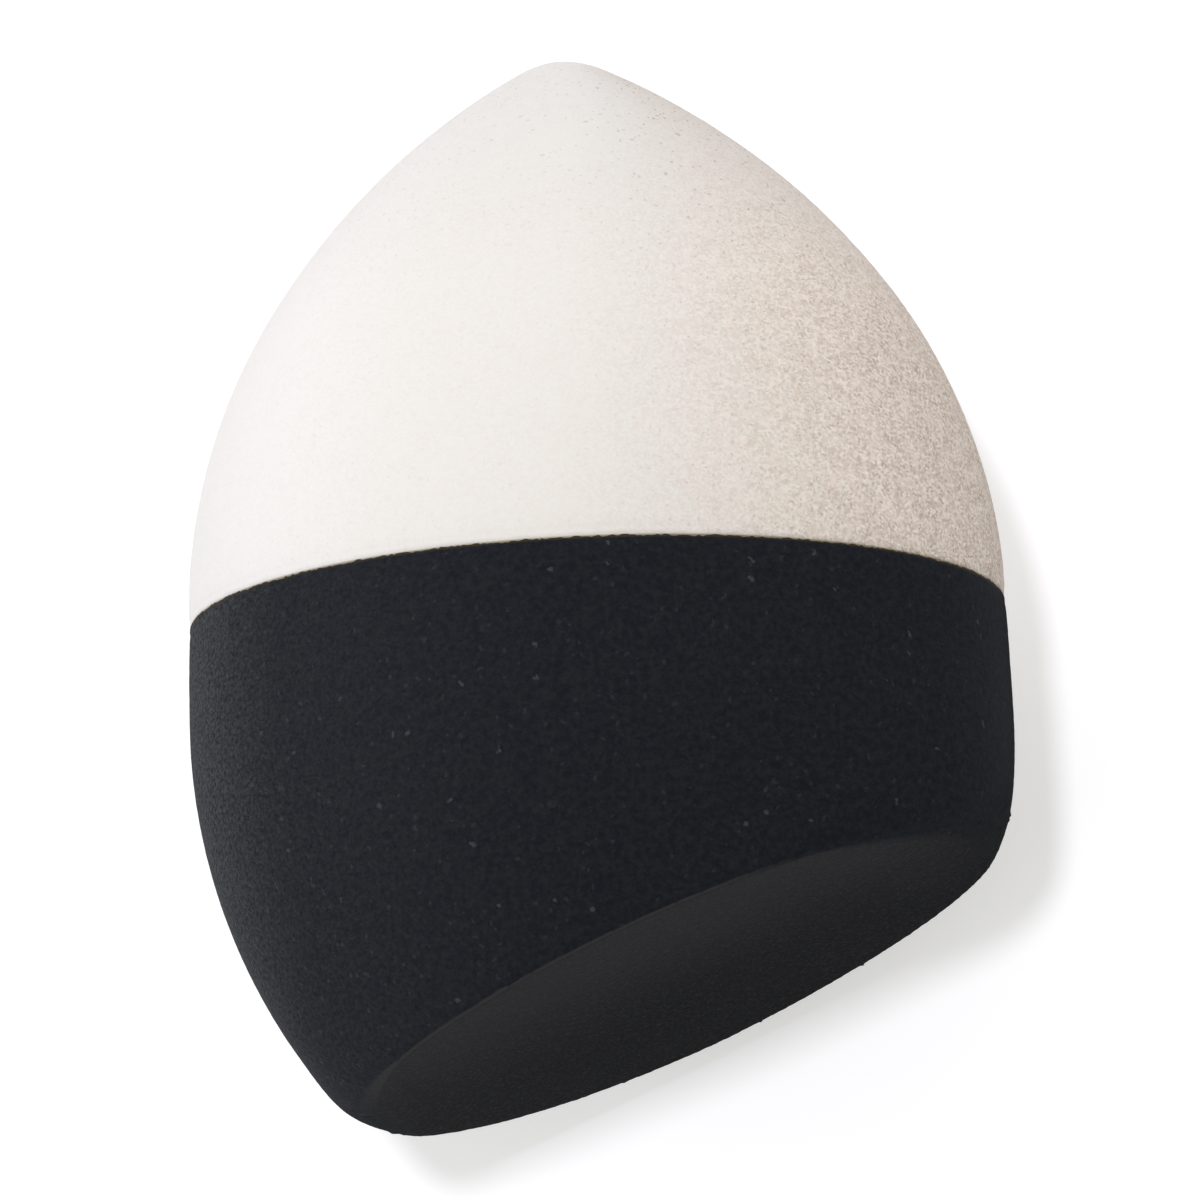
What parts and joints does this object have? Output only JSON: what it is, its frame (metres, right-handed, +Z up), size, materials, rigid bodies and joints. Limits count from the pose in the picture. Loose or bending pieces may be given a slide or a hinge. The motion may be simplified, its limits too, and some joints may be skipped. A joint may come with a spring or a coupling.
{
  "type": "makeup sponge",
  "caption": "Two-tone foam makeup sponge with a pointed pale tip for blending and a dark base cut off at a slant for pressing and contouring.",
  "frame": {"origin": "middle of the flat on the underside that the sponge lies on, below the middle of its widest band", "axes": "+Y along the sponge's axis to its pointed tip, +X across it to the short side of the slanted face, +Z up"},
  "size_m": [0.045, 0.0584, 0.0445],
  "materials": {
    "pale_foam": "matt open-cell polyurethane foam",
    "dark_foam": "matt open-cell polyurethane foam",
    "adhesive": "thin hot-melt film"
  },
  "bodies": {
    "base": {"base_foam": "dark_foam", "bond_film": "adhesive"},
    "tip": {"tip_foam": "pale_foam"}
  },
  "joints": [
    {"name": "tip_press", "type": "slide", "parent": "base", "child": "tip", "axis": [0, -1, 0], "range_m": [0, 0.012], "stiffness_N_per_m": 400, "deforming": ["tip_foam"]}
  ]
}
